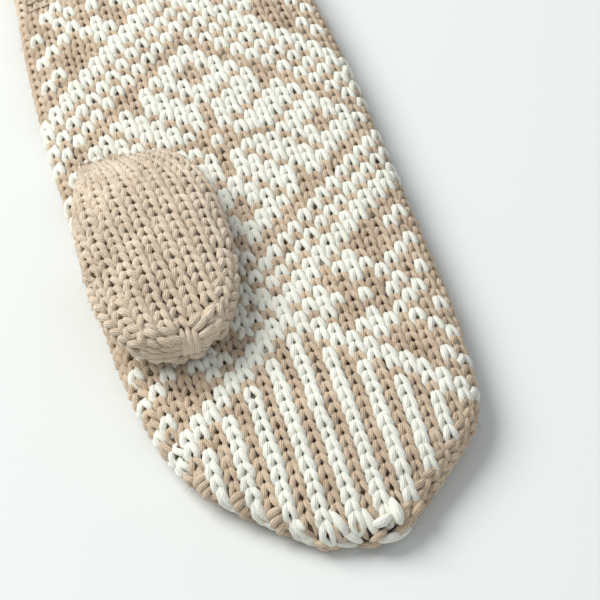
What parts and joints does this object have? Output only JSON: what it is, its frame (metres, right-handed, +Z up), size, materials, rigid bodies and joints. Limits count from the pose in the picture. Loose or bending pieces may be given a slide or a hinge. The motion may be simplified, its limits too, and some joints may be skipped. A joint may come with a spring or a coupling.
{
  "type": "wool mitten",
  "caption": "Two-colour stranded knit mitten lying palm up, with a tapered closed fingertip, a plain thumb on the palm and an open ribbed wrist.",
  "frame": {"origin": "centre of the footprint, on the surface that the mitten lies on", "axes": "+Z up out of the palm, +Y along the mitten from the fingertip to the wrist, +X across the palm away from the thumb"},
  "size_m": [0.106, 0.266, 0.0333],
  "materials": {
    "patterned_knit": "matte",
    "plain_knit": "matte",
    "ribbed_knit": "matte"
  },
  "bodies": {
    "root": {"hand": "patterned_knit", "thumb": "plain_knit", "cuff": "ribbed_knit"}
  },
  "joints": []
}
